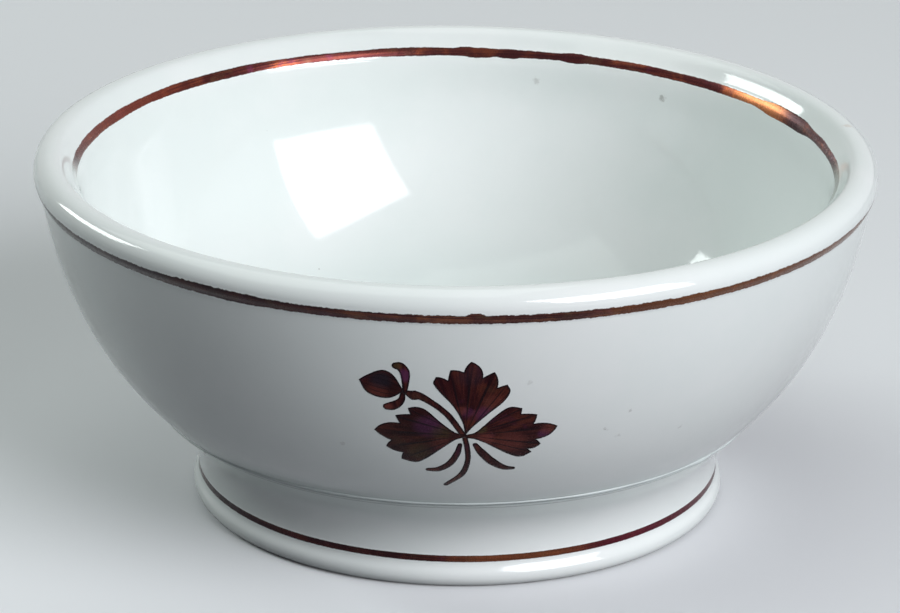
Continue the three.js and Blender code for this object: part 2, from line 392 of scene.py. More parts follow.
def makeGlaze():
    material, tree, shader = newMaterial("glaze")
    where = onPiece(tree)
    inside = tagged(tree, "inside")
    height = add(tree, "SeparateXYZ", {0: where}).outputs[2]
    thinning = between(tree, height, *wear["thinning"])
    outside = calc(tree, "SUBTRACT", 1.0, inside)
    seamPool = times(tree, between(tree, height, *wear["pooling"]), thinning, outside)
    wellPool = times(tree, between(tree, height, *wear["well"]), inside)
    pooling = calc(tree, "MAXIMUM", seamPool, wellPool)
    skin = useGroup(tree, glazeSkin, {"Place": where, "Pooling": pooling, "Specks": 1.0})
    colour = skin["Color"]
    # the marks are ragged, so the place that they are measured from is stirred a little
    stir = add(tree, "TexNoise", {"Vector": where, "Scale": 1 / wear["stirSize"], "Detail": 3.0}).outputs[1]
    stir = vectors(tree, "SUBTRACT", {0: stir, 1: (0.5, 0.5, 0.5)})
    stir = vectors(tree, "SCALE", {0: stir, 3: wear["stir"]})
    stirred = vectors(tree, "ADD", {0: where, 1: stir})
    for name, (centre, reach, strength) in marks.items():
        mask = times(tree, spotAt(tree, stirred, centre, reach), strength)
        colour = blended(tree, mask, colour, glazing["rust" if "rust" in name else "speck"])
    # painted shade in the creases below the seam's bead
    colour = blended(tree, tagged(tree, "crease"), colour, glazing["grime"])
    # the standing face is wiped bare, and its edge has worn
    grit = cloud(tree, where, wear["grit"], 3)
    bare = between(tree, scaled(tree, grit, wear["bareWander"], height), wear["bareHeight"], 0.0)
    surface = scaled(tree, times(tree, grit, bare), wear["bareRelief"], skin["Height"])
    feed(tree, shader, {
        "Base Color": blended(tree, bare, colour, glazing["clay"]),
        "Roughness": scaled(tree, bare, wear["bareRoughness"], skin["Roughness"]),
        "IOR": glazing["ior"],
        "Normal": bumped(tree, surface, glazing["relief"]),
    })
    return material


glaze = makeGlaze()
print("glaze ready")

# The clay body. Lengths are in millimetres, angles in degrees above level, and a pull is how far a
# curve holds the lean of its end
clay = {
    "wallLeans": (44, 81),    # at the seam and at the top
    "wallPulls": (7.9, 23.5),
    "neckDrop": 0.5,          # the glaze softens the notch under the roll, from here down
    "neckLean": 68,
    "neckPulls": (0.55, 0.6),
    "rollRadius": 3.1,
    "rollStart": -22,
    "notchAngle": -45,
    "lipWidth": 6.7,          # from the outside of the rim to the edge inside it
    "lipDepth": 3.05,
    "bevelLean": 51,          # from that edge up to the roll
    "bevelPulls": (2.8, 1.6),
    "seamRadius": 52.6,
    "seamHeight": 18.1,
    "wallThickness": 5.0,
    "flareThickness": 6.35,
    "flareShare": 0.84,
    "flareLean": 70,          # where the flare reaches the edge
    "flarePulls": (2.6, 2.2),
    "bandWidth": 1.55,
    "bandPull": 0.5,
    "undersideHeight": 9.6,
    "floorThickness": 4.8,
    "floorRadius": 26.0,
    "undersideRadius": 33.0,
    "jointRadius": 41.5,      # where bowl and foot meet inside
    "jointHeight": 11.2,
    "jointLean": 24,
    "jointPull": 5,
    "steps": 256,
}
rollRadius = clay["rollRadius"] * mm
rollCentre = Vector((rimRadius - rollRadius, 0, bowlHeight - rollRadius))
notch = rollCentre + lean(clay["notchAngle"]) * rollRadius
seamLean, topLean = clay["wallLeans"]
seamPull, topPull = clay["wallPulls"]
wallTop = notch - lean(topLean) * clay["neckDrop"] * mm
seam = onSection(clay["seamRadius"], clay["seamHeight"])
wallCurve = bend(seam, seamLean, seamPull, wallTop, topLean, topPull, 400)
wallRun = lengths(wallCurve)
wallLength = wallRun[-1]
wall = stretch(wallCurve, 0, wallLength, 64)
roll = arc(rollCentre, rollRadius, clay["rollStart"], 90, 24)
neckLow, neckHigh = clay["neckPulls"]
neck = bend(wallTop, topLean, neckLow, roll[0], clay["neckLean"], neckHigh, 8)


def thicknessAt(share):
    return (clay["wallThickness"] + (clay["flareThickness"] - clay["wallThickness"]) * share) * mm


# The inside flares out to a firm edge, which carries the inner band, and a bevel rises to the roll
innerCurve = sideways(stretch(wallCurve, 0, wallLength * clay["flareShare"], 60), thicknessAt)
near, far = innerCurve[-2:]
innerLean = math.degrees(math.atan2(far.z - near.z, far.x - near.x))
lipEdge = Vector((rimRadius - clay["lipWidth"] * mm, 0, bowlHeight - clay["lipDepth"] * mm))
bandFoot = lipEdge - lean((clay["flareLean"] + clay["bevelLean"]) / 2) * clay["bandWidth"] * mm
flareLow, flareHigh = clay["flarePulls"]
flare = bend(innerCurve[-1], innerLean, flareLow, bandFoot, clay["flareLean"], flareHigh, 18)
bandPull = clay["bandPull"]
bandSeat = bend(bandFoot, clay["flareLean"], bandPull, lipEdge, clay["bevelLean"], bandPull, 8)
bevelLow, bevelHigh = clay["bevelPulls"]
bevel = bend(lipEdge, clay["bevelLean"], bevelLow, roll[-1], 0, bevelHigh, 20)
lip = [*flare, *bandSeat[1:], *bevel[1:]]

# The curved joint of bowl and foot, from the inside out to the seam
jointFoot = onSection(clay["jointRadius"], clay["jointHeight"])
jointLine = bow(jointFoot, seam - lean(clay["jointLean"]) * clay["jointPull"] * mm, seam, 10)


def kneeCurve():
    floorEdge = onSection(clay["floorRadius"], clay["undersideHeight"] + clay["floorThickness"])
    pull = (innerCurve[0].x - floorEdge.x) / mm / 3
    return bend(floorEdge, 0, pull, innerCurve[0], seamLean, pull, 24)


def makeBowlBody():
    level = clay["undersideHeight"]
    halfway = onSection((clay["undersideRadius"] + clay["jointRadius"]) / 2, level)
    underside = bow(onSection(clay["undersideRadius"], level), halfway, jointFoot, 10)
    under = [onSection(0, level), *underside[:-1], *jointLine]
    outside = [*wall[1:], *neck[1:-1], *roll]
    inside = [*reversed(lip[:-1]), *reversed(innerCurve[1:-1]), *reversed(kneeCurve())]
    inside.append(onSection(0, level + clay["floorThickness"]))
    tags = [0.0] * (len(under) + len(outside)) + [1.0] * len(inside)
    mesh = turned([*under, *outside, *inside], clay["steps"], tags={"inside": tags})
    finished("bowlBody", mesh, glaze, "bowl_body")


foot = {
    "footRadius": 46.75,
    "edgeRadius": 1.9,
    "anklePull": 1.35,
    "waistRadius": 45.85,
    "bandLow": 4.6,
    "bandHigh": 5.8,
    "coveLean": 47,
    "covePulls": (5.5, 4.7),
    "standingInnerRadius": 42.2,
    "innerEdgeRadius": 0.8,
    "tooled": 2.4,             # how far below the seam the finely divided stretch starts
    "ridgeBelowSeam": 1.0,     # a second faint line, left by the tool that trimmed the slip
    "ridgeHeight": 0.08,
    "ridgeWidth": 0.22,
    "grooveBelowSeam": 0.5,
    "grooveHeight": -0.10,
    "grooveWidth": 0.2,
    "creases": [(0.5, 0.75), (1.45, 0.4)],   # how far below the seam painted shade darkens the creases, and how much
    "creaseWidth": 0.22,
}
footBandFoot = onSection(foot["waistRadius"], foot["bandLow"])
footBandHead = onSection(foot["waistRadius"], foot["bandHigh"])


def coveLine():
    # from the waist up to the seam, with a fine groove and ridge just below the seam
    waistPull, covePull = foot["covePulls"]
    curve = bend(footBandHead, 90, waistPull, seam, foot["coveLean"], covePull, 200)
    length = lengths(curve)[-1]
    fine = length - foot["tooled"] * mm
    points = stretch(curve, 0, fine, 16)[:-1] + stretch(curve, fine, length, 24)
    out = []
    for point, beside, distance in zip(points, sideways(points, 1.0), lengths(points)):
        below = (length - distance) / mm
        ridge = swellAt(below - foot["ridgeBelowSeam"], foot["ridgeWidth"]) * foot["ridgeHeight"]
        groove = swellAt(below - foot["grooveBelowSeam"], foot["grooveWidth"]) * foot["grooveHeight"]
        out.append(point - (beside - point).normalized() * ((ridge + groove) * mm))
    return out


def makeFootRing():
    edgeRadius = foot["edgeRadius"] * mm
    edgeCentre = onSection(foot["footRadius"] - foot["edgeRadius"], foot["edgeRadius"])
    ankleFoot = onSection(foot["footRadius"], foot["edgeRadius"])
    ankle = bend(ankleFoot, 90, foot["anklePull"], footBandFoot, 90, foot["anklePull"], 12)
    innerEdge = onSection(foot["standingInnerRadius"] + foot["innerEdgeRadius"], foot["innerEdgeRadius"])
    section = [
        *arc(edgeCentre, edgeRadius, -90, 0, 12)[:-1],
        *ankle[:-1],
        footBandFoot,
        *coveLine(),
        *reversed(jointLine[:-1]),
        *arc(innerEdge, foot["innerEdgeRadius"] * mm, 180, 270, 6),
    ]
    creases = []
    for point in section:
        below = (point - seam).length / mm
        creases.append(sum(much * swellAt(below - at, foot["creaseWidth"]) for at, much in foot["creases"]))
    tags = {"inside": [0.0] * len(section), "crease": creases}
    mesh = turned(section, clay["steps"], ring=True, tags=tags)
    finished("footRing", mesh, glaze, "foot_ring")


bead = {
    "radius": 0.42,
    "flatten": 0.6,
    "rise": 0.42,             # how far up the wall from the joint it lies
    "riseSway": 0.12,
    "unevenness": 0.3,
    "roughness": 0.06,
    "lumps": [((40.9, -33.1), 2.2, 0.9), ((25.5, -46.0), 3.0, 0.35)],   # where, how long, how much thicker
    "sides": 12,
    "steps": 720,
    "slipShare": 0.7,         # how much of the slip's own colour shows through
    "dullness": 0.26,
    "grain": 1.2 * mm,
    "relief": 0.04 * mm,
}


def makeSlipSeam():
    # a squeezed-out bead that swells and thins along the joint
    sides = bead["sides"]
    rounded = [seam + lean(360 * i / sides - seamLean) * bead["radius"] * mm for i in range(sides)]
    mesh = turned(rounded, bead["steps"], ring=True)
    upWall = lean(seamLean)
    for vert in mesh.verts:
        turn = Vector((vert.co.x, vert.co.y, 0)).normalized()
        core = turn * seam.x + Vector((0, 0, seam.z))
        swell = 1 + bead["unevenness"] * noise.noise(turn * 9) + bead["roughness"] * noise.noise(turn * 30)
        for middle, reach, more in bead["lumps"]:
            swell += more * swellAt((turn * seam.x / mm - Vector((*middle, 0))).length, reach)
        climb = (bead["rise"] + noise.noise(turn * 5) * bead["riseSway"]) * mm
        core += turn * upWall.x * climb + Vector((0, 0, upWall.z * climb))
        vert.co = core + (vert.co - turn * seam.x - Vector((0, 0, seam.z))) * swell * bead["flatten"]
    finished("slipSeam", mesh, makeSlip(), "slip_seam")


def makeSlip():
    material, tree, shader = newMaterial("slip")
    where = onPiece(tree)
    skin = useGroup(tree, glazeSkin, {"Place": where, "Pooling": 0.5, "Specks": 0.4})
    # the glaze lies thin and uneven over the bead, so it shines less than the wall
    feed(tree, shader, {
        "Base Color": blended(tree, bead["slipShare"], skin["Color"], glazing["slip"]),
        "Roughness": calc(tree, "ADD", skin["Roughness"], bead["dullness"]),
        "IOR": glazing["ior"],
        "Normal": bumped(tree, cloud(tree, where, bead["grain"], 3), bead["relief"]),
    })
    return material


makeBowlBody()
makeFootRing()
makeSlipSeam()
print("clay ready")

lustre = {
    "deep": (0.045, 0.012, 0.014, 1),      # two coats or a loaded brush
    "brown": (0.110, 0.036, 0.026, 1),
    "copper": (0.36, 0.13, 0.045, 1),      # a single thin coat
    "olive": (0.13, 0.095, 0.045, 1),      # thin enough for the glaze to tint it
    "plum": (0.11, 0.030, 0.068, 1),
    "ash": (0.20, 0.18, 0.135, 1),         # where the lustre has worn off to a film
    "wine": (0.13, 0.014, 0.030, 1),
    "ember": (0.30, 0.062, 0.036, 1),
    "burnt": (0.008, 0.005, 0.008, 1),     # fired almost black; also painted shade on the bands' shaded left side
    "metallic": 0.9,
    "roughness": 0.16,
    "grainRoughness": 0.22,
    "grain": 0.9 * mm,                     # size of the ragged bits at the paint's edge
    "raggedness": 2.6,
    "edge": (-0.05 * mm, 0.08 * mm),       # from bare glaze to full cover
    "patch": 7 * mm,                       # size of the glowing and the worn patches
    "holeRange": (0.55, 0.35),
    "brownRange": (0.38, 0.66),
    "glowRange": (0.72, 0.98),
    "blotch": 4.5 * mm,
    "blotchShift": (0.31, 0.17, 0.05),
    "blotches": {"olive": (0.56, 0.74, 0.5), "plum": (0.42, 0.26, 0.55)},   # from, to, how strong
    "rimRange": (0.30 * mm, 0.08 * mm),    # a darker line where the brush left its load
    "rimStrength": 0.55,
    "relief": 0.012 * mm,
}


# Brushed lustre: Depth is how far a point lies inside the paint, in metres, and Flow is a place
# whose noise runs with the brush
def makeLustreSkin():
    tree, given, out = shaderGroup(
        "lustreSkin",
        [("Place", "Vector", (0, 0, 0)), ("Flow", "Vector", (0, 0, 0)), ("Depth", "Float", 0.001),
         ("Grain", "Float", 0.15 * mm), ("Wear", "Float", 0.3), ("Glow", "Float", 0.3)],
        [("Color", "Color"), ("Paint", "Float"), ("Roughness", "Float"), ("Height", "Float")])
    where = given["Place"]
    grain = cloud(tree, where, lustre["grain"], 5, 0.6)
    spread = times(tree, given["Grain"], lustre["raggedness"])
    ragged = scaled(tree, calc(tree, "SUBTRACT", grain, 0.5), spread, given["Depth"])
    cover = between(tree, ragged, *lustre["edge"])
    streak = cloud(tree, given["Flow"], 1.0, 4, 0.6, 0.3)
    patch = cloud(tree, where, lustre["patch"], 3, 0.55, 0.8)
    shifted = vectors(tree, "ADD", {0: where, 1: lustre["blotchShift"]})
    blotch = cloud(tree, shifted, lustre["blotch"], 2, 0.5, 0.5)
    holes = between(tree, scaled(tree, grain, 0.7, patch), *lustre["holeRange"])
    lost = times(tree, holes, given["Wear"], cover)
    tone = blended(tree, between(tree, streak, *lustre["brownRange"]), lustre["deep"], lustre["brown"])
    glow = between(tree, scaled(tree, streak, 0.5, patch), *lustre["glowRange"])
    tone = blended(tree, times(tree, glow, given["Glow"]), tone, lustre["copper"])
    for tint, (low, high, strength) in lustre["blotches"].items():
        tone = blended(tree, times(tree, between(tree, blotch, low, high), strength), tone, lustre[tint])
    rim = times(tree, between(tree, given["Depth"], *lustre["rimRange"]), lustre["rimStrength"])
    feed(tree, out, {
        "Color": blended(tree, rim, tone, lustre["deep"]),
        "Paint": calc(tree, "SUBTRACT", cover, lost, clamp=True),
        "Roughness": scaled(tree, grain, lustre["grainRoughness"], lustre["roughness"]),
        "Height": scaled(tree, streak, 0.6, grain),
    })
    return tree


lustreSkin = makeLustreSkin()

# Each band is painted on a film a little wider than its paint, and margin is the bare glaze that the
# film carries beyond it. Blots widen the paint and fades wear it away: where, how far, how much.
# Washes also name their lustre
bands = {
    "outer": {"waver": 0.12, "grain": 0.26, "wear": 0.35, "glow": 0.45, "margin": 0.55,
              "shade": (0.78, 0.74, 0.76, 1),
              "blots": [((3.6, -72.4, 60.4), 2.0, 0.45), ((-38.0, -61.0, 59.1), 14.0, 0.22)],
              # painted shade: the outer band is darkened over its shaded left side
              "washes": [((-62.0, -38.0, 60.0), 80.0, "burnt", 0.85),
                         # painted sheen: brighter copper on the lit right of the outer band
                         ((52.0, -50.0, 60.0), 45.0, "copper", 0.35)],
              "fades": []},
    "inner": {"waver": 0.26, "grain": 0.12, "wear": 0.2, "glow": 0.75, "margin": 0.75,
              "shade": (0.95, 0.68, 0.7, 1),
              "blots": [((4.3, 65.3, 58.2), 3.4, 0.3), ((9.5, 64.7, 58.3), 2.8, 0.25),
                        ((1.5, 66.3, 60.5), 2.0, 0.2), ((22.0, 62.3, 59.8), 3.0, 0.2),
                        ((59.5, 28.0, 59.0), 11.0, 0.6)],
              # the copper wash at the right of the inner band is a painted reflection of a lamp in the band
              "washes": [((8.0, 65.5, 59.5), 30.0, "deep", 0.6), ((55.0, 36.0, 59.5), 11.0, "copper", 0.7),
                         ((61.2, 23.0, 59.2), 10.0, "burnt", 0.6), ((-61.0, 24.0, 59.2), 30.0, "ember", 0.5),
                         ((64.6, -13.5, 59.2), 18.0, "ash", 1.0)],
              "fades": [((64.6, -13.5, 59.2), 18.0, 0.3), ((-62.6, -20.5, 59.2), 24.0, 0.9)]},
    "foot": {"waver": 0.06, "grain": 0.05, "wear": 0.12, "glow": 0.35, "margin": 0.3,
             "shade": (0.85, 0.56, 0.62, 1), "blots": [], "fades": [],
             # painted shade: the foot band is darkened over its shaded left side, and the small burnt blot on
             # the inner band is real
             "washes": [((-30.0, -35.0, 5.2), 46.0, "burnt", 0.7), ((11.0, -44.6, 5.2), 17.0, "copper", 0.25),
                        ((37.0, -27.4, 5.2), 26.0, "wine", 0.75)]},
}
film = {
    "sway": 24 * mm,           # size of the bends that the brush left in a band
    "swell": 11 * mm,          # size of its wider and narrower stretches
    "streakAcross": 4.0 / mm,
    "streakAlong": 0.12 / mm,
    "lift": 0.02,              # how far the paint stands out of the glaze
    "sink": 0.02,              # how far the film's edges lie in it, so that no line shows there
    "edgeShare": 0.12,
    "depth": 0.03,
    "strips": 22,
    "steps": 512,
    "outerRise": (0.4, 0.6),   # how far the outer band's edges lie above the ends of the neck
    "footLead": (0.03, 4.0),   # where the foot band's line starts: out from the waist, and its height
    "footEdges": (0.6, 1.8),
}


def makeBandLustre(name, look, halfWidth):
    material, tree, shader = newMaterial(name + "BandLustre")
    where = onPiece(tree)
    across = tagged(tree, "across")
    waver = look["waver"] * 2 * mm
    sway = calc(tree, "SUBTRACT", cloud(tree, where, film["sway"], 2), 0.5)
    swell = calc(tree, "SUBTRACT", cloud(tree, where, film["swell"], 3), 0.5)
    off = calc(tree, "ABSOLUTE", scaled(tree, sway, waver, across))
    depth = calc(tree, "SUBTRACT", scaled(tree, swell, waver, halfWidth), off)
    for centre, reach, more in look["blots"]:
        depth = scaled(tree, spotAt(tree, where, centre, reach), more * mm, depth)
    # the streaks' noise is drawn out along the band and stays fine across it
    flow = add(tree, "CombineXYZ", {0: times(tree, across, film["streakAcross"])}).outputs[0]
    slow = vectors(tree, "MULTIPLY", {0: where, 1: (film["streakAlong"],) * 3})
    flow = vectors(tree, "ADD", {0: flow, 1: slow})
    skin = useGroup(tree, lustreSkin, {"Place": where, "Flow": flow, "Depth": depth,
                                       "Grain": look["grain"] * mm, "Wear": look["wear"],
                                       "Glow": look["glow"]})
    colour, paint = blended(tree, 1.0, skin["Color"], look["shade"], "MULTIPLY"), skin["Paint"]
    for centre, reach, tone, strength in look["washes"]:
        mask = times(tree, spotAt(tree, where, centre, reach), strength)
        colour = blended(tree, mask, colour, lustre[tone])
    for centre, reach, loss in look["fades"]:
        paint = times(tree, paint, scaled(tree, spotAt(tree, where, centre, reach), -loss, 1.0))
    # lustre where there is paint, and the same glaze as round it where there is none
    bare = useGroup(tree, glazeSkin, {"Place": where, "Pooling": 0.0, "Specks": 0.0})
    feed(tree, shader, {
        "Base Color": blended(tree, paint, bare["Color"], colour),
        "Metallic": times(tree, paint, lustre["metallic"]),
        "Roughness": add(tree, "Mix", {0: paint, 2: bare["Roughness"], 3: skin["Roughness"]}).outputs[0],
        "IOR": glazing["ior"],
        "Normal": bumped(tree, times(tree, skin["Height"], paint), lustre["relief"]),
    })
    return material


def filmHeight(share):
    # below the glaze at the film's two edges and above it between them; positive is into the clay
    rise = min(share / film["edgeShare"], (1 - share) / film["edgeShare"], 1)
    return (film["sink"] - (film["sink"] + film["lift"]) * rise) * mm


def makeBand(name, line, low, high, node):
    # line is the clay's section with the clay on its left, low and high the paint's edges along it
    look = bands[name]
    halfWidth = (high - low) / 2
    margin = look["margin"] * mm
    strips = film["strips"]
    points = stretch(line, low - margin, high + margin, strips)
    reach = halfWidth + margin
    across = [reach * 2 * i / strips - reach for i in range(strips + 1)]
    section = [*sideways(points, filmHeight), *reversed(sideways(points, film["depth"] * mm))]
    mesh = turned(section, film["steps"], ring=True, tags={"across": [*across, *reversed(across)]})
    finished(name + "Band", mesh, makeBandLustre(name, look, halfWidth), node)


def makeBands():
    rollStart = lengths([*wall, *neck[1:]])[-1]
    low, high = (rise * mm for rise in film["outerRise"])
    makeBand("outer", [*wall, *neck[1:], *roll[1:]], wallLength + low, rollStart + high, "outer_rim_band")
    innerHigh = lengths(bevel)[-1]
    makeBand("inner", list(reversed(lip)), innerHigh, innerHigh + lengths(bandSeat)[-1], "inner_rim_band")
    out, level = film["footLead"]
    footLine = [onSection(foot["waistRadius"] + out, level), footBandFoot, footBandHead, *coveLine()[1:4]]
    low, high = (edge * mm for edge in film["footEdges"])
    makeBand("foot", footLine, low, high, "foot_band")


makeBands()
print("bands ready")

# The sprig is drawn flat, in millimetres right and up from where its leaves meet, and laid on the wall
sprig = {
    "height": 36.0,
    "turn": 1.45,         # degrees to the right of the middle
    "filmLift": 0.02,
    "filmDepth": 0.05,
    "cell": 0.3,          # size of the faces that let the film bend with the wall
    "weld": 0.002,        # corners this close are one, where a cut passes beside a corner
    "ahead": 0.2,         # how far up the wall its lean is read
}
# Each leaf runs up its first side, round its lobes and down its last side. The swells say how far the
# lobes' sides bow out, as a share of their length: towards each notch, and from it to the next tip
leaves = {
    "leaf_centre": {
        "first": [(0.0, 0.2), (-0.4, 2.9), (-1.8, 6.4), (-4.8, 11.1)],
        "tips": [(-4.4, 12.6), (-2.2, 14.0), (0.9, 15.7), (4.4, 13.6), (6.4, 11.0)],
        "notches": [(-2.6, 11.9), (-0.2, 13.6), (2.7, 12.5), (4.9, 10.4)],
        "swells": [(0.10, 0.02), (0.09, 0.08), (0.17, 0.03), (0.10, 0.02)],
        "last": [(6.9, 9.6), (6.0, 7.5), (3.7, 4.9), (1.1, 1.7), (0.2, 0.2)],
    },
    "leaf_left": {
        "first": [(-0.1, -0.6), (-1.5, -1.2), (-3.2, -2.8), (-6.7, -6.4), (-8.4, -7.4)],
        "tips": [(-10.8, -6.7), (-13.1, -3.5), (-14.7, 0.4), (-11.0, 4.1), (-8.9, 5.9)],
        "notches": [(-10.4, -4.9), (-12.1, -1.9), (-10.4, 2.4), (-8.6, 4.5)],
        "swells": [(0.05, 0.10), (0.08, 0.07), (0.17, 0.02), (0.05, 0.02)],
        "last": [(-7.6, 6.2), (-6.2, 5.7), (-4.0, 3.1), (-1.6, 0.6), (-0.1, 0.1)],
    },
    "leaf_right": {
        "first": [(0.0, 0.0), (1.5, 0.5), (3.1, 2.3), (4.8, 4.4), (6.9, 6.2)],
        "tips": [(8.9, 5.9), (11.4, 4.3), (15.0, 1.3), (12.6, -2.8), (11.3, -4.8)],
        "notches": [(8.8, 4.6), (11.0, 2.2), (11.7, -1.6), (10.5, -3.9)],
        "swells": [(0.03, 0.04), (0.05, 0.11), (0.17, 0.05), (0.18, 0.02)],
        "last": [(9.6, -5.9), (7.6, -5.2), (3.3, -2.0), (1.5, -1.0), (0.0, -0.7)],
    },
}
bud = {
    "above": [(-16.2, 11.2), (-14.7, 12.4), (-12.4, 13.5), (-10.9, 12.7), (-9.5, 9.8)],
    "below": [(-9.5, 9.3), (-11.4, 7.9), (-13.3, 7.8), (-15.2, 8.8), (-16.1, 10.9)],
    "stalk": (-9.4, 9.3),
    "middleRib": 2.5,
    "fullness": 0.9,
}
# Where each stroke passes, and how wide it is there
strokes = {
    "bud_stem": [(-0.2, -0.2, 1.0), (-2.4, 4.1, 1.1), (-3.9, 6.0, 1.1), (-5.4, 7.4, 1.2), (-6.9, 8.5, 1.5),
                 (-7.9, 8.7, 2.1), (-9.0, 9.2, 0.9)],
    "sepal_upper": [(-9.2, 9.2, 0.7), (-9.0, 11.9, 1.3), (-9.1, 13.4, 1.6), (-9.7, 14.4, 1.6),
                    (-10.3, 14.5, 1.4)],
    "sepal_lower": [(-9.5, 9.2, 0.7), (-9.8, 7.6, 1.1), (-10.6, 6.6, 1.6), (-11.4, 6.1, 1.8),
                    (-12.1, 5.9, 1.5)],
    "leaf_stem": [(-0.1, -0.2, 0.9), (0.4, -3.4, 0.95), (0.5, -6.7, 0.95), (-0.5, -10.6, 1.2),
                  (-3.4, -14.1, 0.9)],
    "tendril_left": [(-0.8, -2.4, 0.8), (-1.3, -4.7, 1.15), (-2.6, -7.5, 1.3), (-4.6, -9.2, 1.3),
                     (-6.4, -9.4, 0.9)],
    "tendril_right": [(1.7, -2.4, 0.9), (2.8, -4.4, 1.5), (4.7, -7.0, 1.7), (6.9, -8.8, 1.3),
                      (8.5, -9.1, 0.8)],
}


def flat(points):
    return [Vector((x, 0, y)) for x, y in points]


def smoothLine(points, steps):
    # a line that passes through every point without a corner
    out = [points[0]]
    for i in range(len(points) - 1):
        before = points[max(i - 1, 0)]
        after = points[min(i + 2, len(points) - 1)]
        start, end = points[i], points[i + 1]
        reach = (end - start).length / 3
        startHandle = start + (end - before).normalized() * reach
        endHandle = end - (after - start).normalized() * reach
        out += interpolate_bezier(start, startHandle, endHandle, end, steps + 1)[1:]
    return out


def leafOutline(leaf):
    # the outline runs clockwise, so its left is the outside, where the lobes' sides swell to
    tips, notches = flat(leaf["tips"]), flat(leaf["notches"])
    outline = smoothLine([*flat(leaf["first"]), tips[0]], 6)
    for i, hollow in enumerate(notches):
        for start, end, swell in zip((tips[i], hollow), (hollow, tips[i + 1]), leaf["swells"][i]):
            along = end - start
            middle = start + along / 2 + Vector((-along.z, 0, along.x)) * swell * 2
            outline += bow(start, middle, end, 6)[1:]
    return outline + smoothLine([tips[-1], *flat(leaf["last"])], 6)[1:]


def strokeOutline(line):
    middle = smoothLine(flat([(x, y) for x, y, width in line]), 8)
    last = len(line) - 1

    def halfWidth(share):
        i = min(int(share * last), last - 1)
        near, far = line[i][2], line[i + 1][2]
        return (near + (far - near) * (share * last - i)) / 2

    left = sideways(middle, halfWidth)
    right = sideways(middle, lambda share: -halfWidth(share))
    ends = []
    for end, side in ((middle[-1], left[-1]), (middle[0], right[0])):
        turns = [Matrix.Rotation(math.radians(angle), 3, "Y") for angle in (45, 90, 135)]
        ends.append([end + turn @ (side - end) for turn in turns])
    return [*left, *ends[0], *reversed(right), *ends[1]]


def nearestEdge(point, outline):
    least = math.inf
    for a, b in zip(outline, [*outline[1:], outline[0]]):
        nearest, share = intersect_point_line(point, a, b)
        nearest = a if share < 0 else b if share > 1 else nearest
        least = min(least, (point - nearest).length)
    return least


def sameTurn(angle, other):
    # the same heading, given within half a turn of the other
    return angle + 2 * math.pi * round((other - angle) / (2 * math.pi))


def ribPlace(point, tips, ends):
    # which rib a point of a leaf lies on, counted from one edge, and how far out it is
    heading = [math.atan2(tip.z, tip.x) for tip in (ends[0], *tips, ends[1])]
    for i in range(1, len(heading)):
        heading[i] = sameTurn(heading[i], heading[i - 1])
    angle = sameTurn(math.atan2(point.z, point.x), heading[3])
    for i in range(len(heading) - 1):
        share = (angle - heading[i]) / (heading[i + 1] - heading[i])
        if share < 1 or i == len(heading) - 2:
            return i + max(share, 0), point.length / tips[2].length


def budRib(point):
    # the same for the bud, whose ribs run from its tip to its stalk
    tip, stalk = flat([bud["above"][0], bud["stalk"]])
    axis = stalk - tip
    along = (point - tip).dot(axis) / axis.length_squared
    off = point - tip - axis * along
    side = off.length * (1 if off.z > 0 else -1)
    breadth = max(bud["fullness"] * math.sqrt(max(along * (1 - along), 0.01)) * 2, 0.2)
    return bud["middleRib"] + side / breadth, 1 - along


def onWall(point, backwards):
    # lays a flat place on the wall; backwards is how far it sinks into the glaze
    start = sprigStart + point.z * mm
    centre = pointAt(wallCurve, wallRun, start)
    ahead = pointAt(wallCurve, wallRun, start + sprig["ahead"] * mm)
    along = (ahead - centre).normalized()
    out = centre + Vector((along.z, 0, -along.x)) * (sprig["filmLift"] * mm - backwards)
    turn = math.radians(sprig["turn"]) + point.x * mm / sprigRadius
    return Vector((out.x * math.sin(turn), -out.x * math.cos(turn), out.z))


sprigStart = next(run for run, point in zip(wallRun, wallCurve) if point.z > sprig["height"] * mm)
sprigRadius = pointAt(wallCurve, wallRun, sprigStart).x


def paintFilm(name, outline, ribOf, material):
    # cuts a flat outline into small faces and bends it on to the wall, once in front and once behind
    mesh = bmesh.new()
    tags = [mesh.verts.layers.float.new(tag) for tag in ("rib", "reach", "depth", "right", "up")]
    mesh.faces.new([mesh.verts.new(point) for point in outline])
    for axis in (Vector((1, 0, 0)), Vector((0, 0, 1))):
        along = [point.dot(axis) for point in outline]
        low, high = min(along), max(along)
        cuts = int((high - low) / sprig["cell"])
        for i in range(1, cuts):
            cut = axis * (low + (high - low) * i / cuts)
            everything = [*mesh.verts, *mesh.edges, *mesh.faces]
            bmesh.ops.bisect_plane(mesh, geom=everything, plane_co=cut, plane_no=axis)
    bmesh.ops.remove_doubles(mesh, verts=mesh.verts, dist=sprig["weld"])
    for vert in mesh.verts:
        depth = 0.0 if vert.is_boundary else nearestEdge(vert.co, outline) * mm
        for tag, value in zip(tags, (*ribOf(vert.co), depth, vert.co.x, vert.co.z)):
            vert[tag] = value
    bmesh.ops.triangulate(mesh, faces=[face for face in mesh.faces if len(face.verts) > 4])
    made = bmesh.ops.extrude_face_region(mesh, geom=mesh.faces)
    sunk = {item for item in made["geom"] if isinstance(item, bmesh.types.BMVert)}
    for vert in mesh.verts:
        vert.co = onWall(vert.co, sprig["filmDepth"] * mm if vert in sunk else 0)
    bmesh.ops.recalc_face_normals(mesh, faces=mesh.faces)
    behind = mesh.copy()
    bmesh.ops.rotate(behind, cent=(0, 0, 0), matrix=Matrix.Rotation(math.pi, 3, "Z"), verts=behind.verts)
    camel = name.split("_")[0] + "".join(word.capitalize() for word in name.split("_")[1:])
    finished(camel + "Front", mesh, material, "front_" + name)
    finished(camel + "Back", behind, material, "back_" + name)


